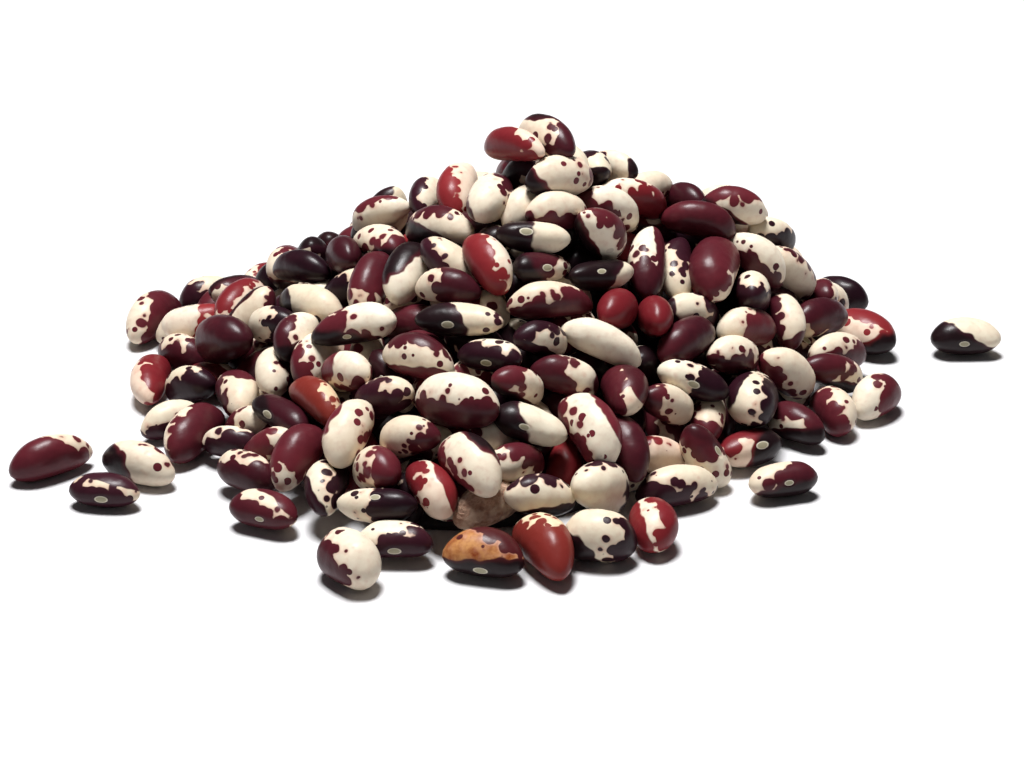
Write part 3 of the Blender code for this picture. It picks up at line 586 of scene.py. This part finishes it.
def beanAxes(layer, chosen):
    # long, wide and thick axis of each bean, square to each other
    longAxis, wide = layer["long"][chosen], layer["wide"][chosen]
    wide = unit(wide - (wide * longAxis).sum(axis=1, keepdims=True) * longAxis)
    return np.stack([longAxis, wide, np.cross(longAxis, wide)], axis=1)


def beanCages(layer, chosen, settle, eyeAim):
    # cages whose rounded surface meets the bean's own points, raised off the table where they would
    # reach it, or settled onto it; the hilum lies a little towards the dark patch
    points, seamDepth = beanPoints(layer, chosen, ball)
    lowest = beanPoints(layer, chosen, fineBall())[0][:, :, 2].min(axis=1)
    lift = shape["looseGap" if settle else "tableGap"] - lowest
    if not settle:
        lift = np.maximum(lift, 0.0)
    lift = lift[:, None] * [0, 0, 1]
    axes = beanAxes(layer, chosen)
    middle = layer["middle"][chosen] + lift
    cages = np.einsum("cp,bpi->bci", cageFromSurface, points + lift[:, None])
    shift = coats["hilumShift"] * layer["half"][chosen][:, :1] * (
        unit(eyeAim) * axes[:, 0]).sum(axis=1, keepdims=True)
    return cages, {
        "beanMiddle": middle, "beanLong": axes[:, 0], "beanWide": axes[:, 1],
        "hilumMiddle": middle - axes[:, 1] * seamDepth + axes[:, 0] * shift}


def addObject(name, data):
    made = bpy.data.objects.new(name, data)
    bpy.context.scene.collection.objects.link(made)
    return made


def makeMesh(name, points, faces, material, values=None, levels=0):
    # an object at the origin from points in millimetres and faces, values kept per point
    mesh = bpy.data.meshes.new(name)
    mesh.from_pydata((points.reshape(-1, 3) * millimetre).tolist(), [], faces)
    for key, rows in (values or {}).items():
        kept = mesh.attributes.new(key, "FLOAT_VECTOR", "POINT")
        kept.data.foreach_set("vector", rows.astype(np.float32).ravel())
    mesh.shade_smooth()
    mesh.materials.append(material)
    made = addObject(name, mesh)
    if levels:
        rounding = made.modifiers.new("rounding", "SUBSURF")
        rounding.levels = rounding.render_levels = levels
    return made


# Shader maths

def asWritten(operation):
    return lambda wire, other: wire.maths(operation, wire, other)


def reflected(operation):
    return lambda wire, other: wire.maths(operation, other, wire)


class Wire:
    # a socket that adds, multiplies and compares as a number does
    def __init__(self, paint, socket):
        self.paint = paint
        self.socket = socket

    def maths(self, operation, *values):
        return self.paint.node("ShaderNodeMath", {"operation": operation}, dict(enumerate(values)))

    __add__, __radd__ = asWritten("ADD"), reflected("ADD")
    __sub__, __rsub__ = asWritten("SUBTRACT"), reflected("SUBTRACT")
    __mul__, __rmul__ = asWritten("MULTIPLY"), reflected("MULTIPLY")
    __truediv__, __rtruediv__ = asWritten("DIVIDE"), reflected("DIVIDE")
    __pow__, atLeast = asWritten("POWER"), asWritten("MAXIMUM")

    def held(self):
        # kept between 0 and 1
        return self.maths("MINIMUM", self.atLeast(0.0), 1.0)

    def past(self, edge, softness):
        # 0 below the edge, 1 above it, with a soft change between
        settings = {"interpolation_type": "SMOOTHSTEP"}
        inputs = {"Value": self, "From Min": edge - softness, "From Max": edge + softness}
        return self.paint.node("ShaderNodeMapRange", settings, inputs)

    def other(self, name):
        # another output of the same node
        return Wire(self.paint, self.socket.node.outputs[name])


class Paint:
    # one material and its nodes
    def __init__(self, name):
        self.material = bpy.data.materials.new(name)
        self.material.use_nodes = True
        self.tree = self.material.node_tree
        self.tree.nodes.clear()

    def node(self, kind, settings=None, inputs=None, output=0):
        made = self.tree.nodes.new(kind)
        for key, value in (settings or {}).items():
            setattr(made, key, value)
        for key, value in (inputs or {}).items():
            if isinstance(value, Wire):
                self.tree.links.new(value.socket, made.inputs[key])
            else:
                made.inputs[key].default_value = value
        return Wire(self, made.outputs[output]) if made.outputs else None

    def attribute(self, name):
        return self.node("ShaderNodeAttribute", {"attribute_name": name}, output="Vector")

    def parts(self, vector):
        found = self.node("ShaderNodeSeparateXYZ", {}, {0: vector}, "X")
        return found, found.other("Y"), found.other("Z")

    def place(self):
        # Object coordinates in millimetres
        coordinates = self.node("ShaderNodeTexCoord", output="Object")
        return self.vector("SCALE", coordinates, Scale=1.0 / millimetre)

    def vector(self, operation, *values, output=0, **named):
        inputs = {**dict(enumerate(values)), **named}
        return self.node("ShaderNodeVectorMath", {"operation": operation}, inputs, output)

    def dot(self, first, second):
        return self.vector("DOT_PRODUCT", first, second, output="Value")

    def mix(self, factor, first, second):
        # colours: first where the factor is 0, second where it is 1
        return self.node("ShaderNodeMix", {"data_type": "RGBA"}, {0: factor, 6: first, 7: second}, 2)

    def noise(self, place, scale, detail=2.0, roughness=0.5):
        inputs = {"Vector": place, "Scale": scale, "Detail": detail, "Roughness": roughness}
        return self.node("ShaderNodeTexNoise", {}, inputs)

    def lobes(self, place, scale):
        # round swellings a cell apart, from 0.42 at their middles to below 0 between them
        inputs = {"Vector": place, "Scale": scale, "Smoothness": 0.25}
        return 0.42 - self.node("ShaderNodeTexVoronoi", {"feature": "SMOOTH_F1"}, inputs)

    def cells(self, place, scale):
        # distance to the nearest cell's middle, that middle and a random number of the cell
        cell = self.node("ShaderNodeTexVoronoi", {"feature": "F1"}, {"Vector": place, "Scale": scale})
        drawn = self.node("ShaderNodeSeparateColor", {}, {0: cell.other("Color")}, 0)
        return cell, cell.other("Position"), drawn

    def bump(self, height, strength):
        inputs = {"Strength": strength, "Distance": millimetre, "Height": height}
        return self.node("ShaderNodeBump", {}, inputs)

    def surface(self, inputs):
        shader = self.node("ShaderNodeBsdfPrincipled", {}, inputs)
        self.node("ShaderNodeOutputMaterial", {}, {"Surface": shader})
        return self.material


def tint(red, green, blue):
    # a colour given from 0 to 255, as the share of light sent back: 0.8 (value / 255) to the 2.2
    return tuple(0.8 * (value / 255.0) ** 2.2 for value in (red, green, blue)) + (1.0,)


# Bean skins

coatColours = {  # the pale coat and its shade, then the patch and its deepest tone
    "maroon": ((252, 240, 218), (226, 200, 168), (110, 44, 52), (66, 28, 36)),
    "red": ((252, 236, 214), (236, 196, 172), (150, 52, 54), (118, 38, 44)),
    "dark": ((250, 238, 214), (222, 200, 168), (66, 32, 42), (38, 20, 28)),
    "brick": ((246, 228, 190), (226, 178, 140), (132, 54, 44), (126, 48, 44)),
    "tan": ((206, 146, 90), (140, 66, 36), (84, 36, 38), (60, 28, 32)),
}
coats = {
    "eye": (38, 25, 28), "stain": (214, 160, 138), "hilum": (172, 165, 138), "hilumRim": (226, 218, 196),
    "mottleScale": 0.45, "mottle": 0.6, "tanMottle": 3.0, "stainScale": 0.8, "stainShares": (0.5, 0.3),
    "waverScale": 0.28, "waver": 0.5, "edge": 0.035,  # the slow sway of a patch's edge
    "lobeScale": 0.46, "lobe": 1.0, "smallScale": 0.95, "smallLobe": 0.1,
    "blotScale": 0.5, "blotReach": 0.45, "blotOdds": 0.4, "blotSize": (0.14, 0.55), "sharp": 0.001,
    "eyeLobe": 0.14, "eyeWaver": 0.4, "eyeFade": 0.16,
    "inward": (0.8, -0.2, 0.5, 0.25),  # how much tone, nothing, mottle and depth deepen a patch
    "hilumHalf": (1.3, 1.6, 0.72), "hilumShift": 0.22, "rise": 0.1, "hollow": 0.16, "bump": 0.6,
    "grain": ((2.2, 0.04), (0.4, 0.3)),  # scale and height of fine and slow grain
    # where each begins, and how softly
    "blotEdge": (0.0, 0.02), "stainEdge": (-0.1, 0.14), "flushEdge": (0.62, 0.2),
    "hilumEdge": (1.0, 0.06), "rimEdge": (0.8, 0.1), "hollowEdge": (1.35, 0.35),
    "roughness": 0.36, "baseRoughness": 0.46,
    "gloss": {"Specular IOR Level": 0.18, "Coat Weight": 0.06, "Coat Roughness": 0.2},
}


def beanSkin(kind):
    # a pale coat with two patches, each the part of the bean beyond a cut across its aim: one in the
    # kind's colour with lobes and round blots along its edge, one that darkens to near black inwards
    pale, shade, patchTint, deepest = [tint(*colour) for colour in coatColours[kind]]
    paint = Paint(kind + " bean skin")
    place = paint.place()
    middle = paint.attribute("beanMiddle")
    fromMiddle = paint.vector("SUBTRACT", place, middle)
    patchCut, eyeCut, baseShade = paint.parts(paint.attribute("coatCuts"))
    eyeBlack, patchTone, hilumSize = paint.parts(paint.attribute("coatTones"))
    slow = paint.noise(place, coats["waverScale"], 1.0) - 0.5
    rounded = paint.lobes(place, coats["lobeScale"])
    smaller = paint.lobes(place, coats["smallScale"])

    patchAim, eyeAim = paint.attribute("patchAim"), paint.attribute("eyeAim")
    patchReach = paint.dot(fromMiddle, patchAim) - patchCut
    lobes = slow * coats["waver"] + rounded * coats["lobe"] + smaller * coats["smallLobe"]
    solid = (patchReach + lobes).past(0.0, coats["edge"])
    away, blotPlace, blotDraw = paint.cells(place, coats["blotScale"])
    blotFromMiddle = paint.vector("SUBTRACT", blotPlace, middle)
    blotReach = paint.dot(blotFromMiddle, patchAim) - patchCut
    near = (blotReach + coats["blotReach"]).past(0.0, coats["sharp"])
    near = near * blotDraw.past(coats["blotOdds"], coats["sharp"])
    smallest, spread = coats["blotSize"]
    blot = (smallest + (blotDraw - coats["blotOdds"]) * spread - away).past(*coats["blotEdge"])
    patch = solid.atLeast(near * blot)

    eyeReach = paint.dot(fromMiddle, eyeAim) - eyeCut
    eyeEdge = eyeReach + slow * coats["eyeWaver"] + rounded * coats["eyeLobe"]
    eyePart = eyeEdge.past(0.0, coats["edge"])
    eyeDepth = eyeEdge.past(coats["eyeFade"] * 0.5, coats["eyeFade"]) * eyeBlack

    mottle = paint.noise(place, coats["mottleScale"], 3.0, 0.6)
    tone = baseShade + (mottle - 0.5) * coats["tanMottle" if kind == "tan" else "mottle"]
    base = paint.mix(tone.held(), pale, shade)
    besidePatch, anywhere = coats["stainShares"]
    stained = (patchReach + lobes).past(*coats["stainEdge"]) * besidePatch
    flush = paint.noise(place, coats["stainScale"], 3.0).past(*coats["flushEdge"]) * anywhere
    base = paint.mix((stained + flush).held(), base, tint(*coats["stain"]))
    ofTone, always, ofMottle, ofDepth = coats["inward"]
    inward = (patchTone * ofTone + always + mottle * ofMottle + patchReach * ofDepth).held()
    patchColour = paint.mix(inward, patchTint, deepest)
    eyeColour = paint.mix(eyeDepth, patchColour, tint(*coats["eye"]))
    covered = patch.atLeast(eyePart)
    colour = paint.mix(covered, base, eyeColour)

    fromHilum = paint.vector("SUBTRACT", place, paint.attribute("hilumMiddle"))
    longAxis, wideAxis = paint.attribute("beanLong"), paint.attribute("beanWide")
    thickAxis = paint.vector("CROSS_PRODUCT", longAxis, wideAxis)
    parts = [paint.dot(fromHilum, axis) / half
             for axis, half in zip((longAxis, wideAxis, thickAxis), coats["hilumHalf"])]
    oval = (parts[0] * parts[0] + parts[1] * parts[1] + parts[2] * parts[2]) ** 0.5 / hilumSize
    hilum = 1.0 - oval.past(*coats["hilumEdge"])
    rim = oval.past(*coats["rimEdge"])
    colour = paint.mix(hilum, colour, paint.mix(rim, tint(*coats["hilum"]), tint(*coats["hilumRim"])))

    roughness = coats["baseRoughness"] - covered * (coats["baseRoughness"] - coats["roughness"])
    (fine, fineHeight), (broad, broadHeight) = coats["grain"]
    grain = paint.noise(place, fine, 3.0) * fineHeight + paint.noise(place, broad, 1.0) * broadHeight
    hollow = 1.0 - oval.past(*coats["hollowEdge"])
    height = grain + hilum * coats["rise"] - hollow * coats["hollow"]
    return paint.surface({
        "Base Color": colour, "Roughness": roughness, "Normal": paint.bump(height, coats["bump"]),
        **coats["gloss"]})


husk = {
    "colour": (206, 166, 140), "deep": (158, 118, 96), "pale": (236, 210, 184),
    "ridgeScale": 0.9, "blotchScale": 0.35, "ridgeEdge": (0.5, 0.2), "blotchEdge": (0.58, 0.12),
    "roughness": 0.75,
}


def huskSkin():
    # brown and wrinkled all over: the ridges of a fine noise, and pale blotches of a slow one
    paint = Paint("husk bean skin")
    place = paint.place()
    ridges = paint.noise(place, husk["ridgeScale"], 4.0, 0.65)
    blotches = paint.noise(place, husk["blotchScale"], 2.0)
    colour = paint.mix(ridges.past(*husk["ridgeEdge"]), tint(*husk["deep"]), tint(*husk["colour"]))
    colour = paint.mix(blotches.past(*husk["blotchEdge"]), colour, tint(*husk["pale"]))
    return paint.surface({
        "Base Color": colour, "Roughness": husk["roughness"], "Normal": paint.bump(ridges, 1.0)})


# The beans of each kind

coatDraws = {
    "seed": 23, "kinds": ("maroon", "dark", "red"), "kindOdds": (0.55, 0.31, 0.14),
    "shares": (0.2, 0.35, 0.5, 0.65, 0.8, 1.5), "shareOdds": (0.1, 0.22, 0.26, 0.2, 0.1, 0.12),
    # beans under the outer layer get large patches, so they read dark as painted shade in the gaps between
    # the outer beans
    "eyeShares": (0.0, 0.3, 0.4, 0.5), "none": -0.4, "underShadeShare": 0.7,
    "mostShade": 0.5, "leastBlack": 0.4, "leastHilum": 0.62,
}


def pictureDirection(line, angle, tilt=0.0):
    # the direction that lies at an angle in the picture, tilted towards the viewer
    side, above = pictureAxes(line)
    turn, lean = math.radians(angle), math.radians(tilt)
    return math.cos(lean) * (math.cos(turn) * side + math.sin(turn) * above) - math.sin(lean) * line


def extents(layer, directions):
    # how far each bean reaches from its middle along a direction: the root of (axis . direction half)2
    axes = beanAxes(layer, slice(None))
    parts = np.einsum("bij,bj->bi", axes, directions) * layer["half"]
    return np.linalg.norm(parts, axis=1, keepdims=True)


def coatValues(layer, rows, outer):
    # aims, cuts and tones of every bean's patches, drawn at random but for the beans of the given rows,
    # and mostly dark under the outer layer, which is painted shade in the gaps between the outer beans; an
    # aim is its direction over the bean's extent that way, so a cut of 1 - 2 share leaves that share of the
    # bean beyond it
    count = len(layer["middle"])
    draws = np.random.default_rng(coatDraws["seed"])
    kinds = draws.choice(coatDraws["kinds"], count, p=coatDraws["kindOdds"])
    patchAim, eyeAim = unit(draws.normal(size=(count, 3))), -layer["wide"]
    patchShare = draws.choice(coatDraws["shares"], count, p=coatDraws["shareOdds"])
    # mostly patch colour under the outer layer: painted shade in the gaps
    patchShare[outer:] = np.maximum(patchShare[outer:], coatDraws["underShadeShare"])
    eyeShare = draws.choice(coatDraws["eyeShares"], count)
    baseShade, patchTone, eyeBlack, hilumSize = draws.random((4, count))
    baseShade = baseShade * coatDraws["mostShade"]
    eyeBlack = coatDraws["leastBlack"] + (1.0 - coatDraws["leastBlack"]) * eyeBlack
    hilumSize = coatDraws["leastHilum"] + (1.0 - coatDraws["leastHilum"]) * hilumSize
    for k, row in enumerate(rows):
        kinds[k], patch, second = wholeRow(row)[6:9]
        patchShare[k] = eyeShare[k] = coatDraws["none"]
        if patch:
            angle, percent, tilt = (*patch, 0)[:3]
            patchShare[k] = percent / 100
            patchAim[k] = pictureDirection(layer["line"][k], angle, tilt)
        if second:
            angle, percent, eyeBlack[k] = (*second, 0)[:3]
            eyeShare[k] = percent / 100
            eyeAim[k] = pictureDirection(layer["line"][k], angle)
    cuts = np.stack([1 - 2 * patchShare, 1 - 2 * eyeShare, baseShade], axis=1)
    tones = np.stack([eyeBlack, patchTone, hilumSize], axis=1)
    return kinds, patchShare > 1.0, {
        "patchAim": patchAim / extents(layer, patchAim), "eyeAim": eyeAim / extents(layer, eyeAim),
        "coatCuts": cuts, "coatTones": tones}


def makeBeans(name, layer, chosen, kind, values, settle, node):
    cages, found = beanCages(layer, chosen, settle, values["eyeAim"][chosen])
    count, points = cages.shape[:2]
    faces = (squares[None] + points * np.arange(count)[:, None, None]).reshape(-1, 4)
    found.update({key: rows[chosen] for key, rows in values.items()})
    found = {key: np.repeat(rows, points, axis=0) for key, rows in found.items()}
    made = makeMesh(name, cages, faces.tolist(), skins[kind], found, shape["levels"])
    dress(made, node)
    print(name, count, "beans")


def dress(piece, node):
    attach(piece, "root")
    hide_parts(node)


skins = {kind: beanSkin(kind) for kind in coatColours}
skins["husk"] = huskSkin()
layer, outer = layOut()
kinds, plain, values = coatValues(layer, nearBeans, outer)
for kind in skins:
    for name, ofKind in ((kind + "PlainBeans", plain), (kind + "Beans", ~plain)):
        chosen = np.nonzero((kinds == kind) & ofKind)[0]
        if len(chosen):
            makeBeans(name, layer, chosen, kind, values, False, "bean_heap")

loose = seenLayer(looseBeans, onTable=True)
kinds, plain, values = coatValues(loose, looseBeans, len(looseBeans))
for k in range(len(looseBeans)):
    makeBeans(f"looseBean{k + 1}", loose, np.array([k]), kinds[k], values, True, f"loose_bean_{k + 1}")


# The dark body under the beans, its near-black colour painted shade between them

core = {
    "depth": 9.5, "reach": 0.72, "rings": 24, "sectors": 72, "innermost": 0.02,
    "lump": 1.2, "lumpSize": 4.0, "lowest": 0.3, "edge": 0.2,
    # the two colours below are painted shade: near black, standing in for the shadow deep between the beans
    "shadeDarkest": (16, 9, 10), "shadeLightest": (30, 16, 17), "mottleScale": 0.6, "roughness": 0.9,
}


def makeCore():
    # rings of points over a disc of reach times the foot: the rest level less the depth, with lumps
    # sin(x / size) sin(y / size), closed by a flat base
    angles = 2 * math.pi * np.arange(core["sectors"]) / core["sectors"]
    share = np.linspace(core["innermost"], 1.0, core["rings"])[:, None]
    edge = footRadius(angles) * core["reach"]
    x, y = share * edge * np.cos(angles), share * edge * np.sin(angles)
    size = core["lumpSize"]
    z = restLevel(x, y) - core["depth"] + core["lump"] * np.sin(x / size) * np.sin(y / size)
    z = np.maximum(z, core["lowest"] + core["edge"])
    rings = np.stack([x, y, z], axis=2)
    base = rings[-1:] * [1, 1, 0] + [0.0, 0.0, core["lowest"]]
    rings = np.concatenate([rings, base])
    ends = np.array([[0.0, 0.0, restLevel(0.0, 0.0) - core["depth"]], [0.0, 0.0, core["lowest"]]])
    points = np.concatenate([rings.reshape(-1, 3), ends])
    here = np.arange(len(points) - 2).reshape(rings.shape[:2])
    after = np.roll(here, -1, axis=1)
    sides = np.stack([here[:-1], here[1:], after[1:], after[:-1]], axis=-1).reshape(-1, 4)
    top, bottom = np.full_like(here[:2], len(points) - 1) - [[1], [0]]
    caps = np.concatenate([np.stack([top, here[0], after[0]], axis=1),
                           np.stack([bottom, after[-1], here[-1]], axis=1)])
    paint = Paint("shade between beans")
    mottle = paint.noise(paint.place(), core["mottleScale"])
    shade = paint.mix(mottle, tint(*core["shadeDarkest"]), tint(*core["shadeLightest"]))
    material = paint.surface({"Base Color": shade, "Roughness": core["roughness"]})
    inside = makeMesh("heapInside", points, sides.tolist() + caps.tolist(), material)
    dress(inside, "bean_heap")
    print("heapInside", len(points), "points")


makeCore()


# Table, lights and camera

studio = {
    # lengths in metres, but the glow's distance and how softly it begins, in millimetres
    "floor": 24.0, "floorColour": (238, 237, 239), "floorGlow": 0.85, "glowPast": (480, 280),
    "floorRoughness": 0.7, "world": 0.045, "aim": (0.0, 0.0, 0.02),
    "key": {"power": 18.8, "size": (0.34, 0.28), "place": (-0.08, 0.09, 1.0)},
    "fill": {"power": 0.15, "size": (0.5, 0.5), "place": (-0.35, -0.8, 0.6)},
}
white, black = (1.0, 1.0, 1.0, 1.0), (0.0, 0.0, 0.0, 1.0)


def makeFloor():
    # a square; far from the heap, past the lamps' reach, it gives off some light of its own
    paint = Paint("table")
    away = paint.vector("LENGTH", paint.place(), output="Value").past(*studio["glowPast"])
    material = paint.surface({
        "Base Color": tint(*studio["floorColour"]), "Roughness": studio["floorRoughness"],
        "Emission Color": paint.mix(away, black, white), "Emission Strength": studio["floorGlow"]})
    reach = studio["floor"] / 2 / millimetre
    corners = np.array([[-1, -1, 0], [1, -1, 0], [1, 1, 0], [-1, 1, 0]]) * reach
    floor = makeMesh("table", corners, [[0, 1, 2, 3]], material)


def makeLight(name, light):
    data = bpy.data.lights.new(name, "AREA")
    data.shape, data.energy = "RECTANGLE", light["power"]
    data.size, data.size_y = light["size"]
    made = addObject(name, data)
    made.location = light["place"]
    aim = Vector(studio["aim"]) - Vector(light["place"])
    made.rotation_euler = aim.to_track_quat("-Z", "Y").to_euler()


def makeCamera():
    data = bpy.data.cameras.new("camera")
    data.lens = data.sensor_width * view["focal"] / view["columns"]
    made = addObject("camera", data)
    made.location = eye * millimetre
    made.rotation_euler = (math.pi / 2 - view["tilt"], 0.0, 0.0)
    bpy.context.scene.camera = made


def makeWorld():
    world = bpy.data.worlds.new("studio")
    world.use_nodes = True
    background = world.node_tree.nodes["Background"]
    background.inputs["Color"].default_value = white
    background.inputs["Strength"].default_value = studio["world"]
    bpy.context.scene.world = world


makeFloor()
makeLight("key", studio["key"])
makeLight("fill", studio["fill"])
makeWorld()
makeCamera()
bpy.context.scene.view_settings.view_transform = "Standard"
print("table, lights and camera are set")
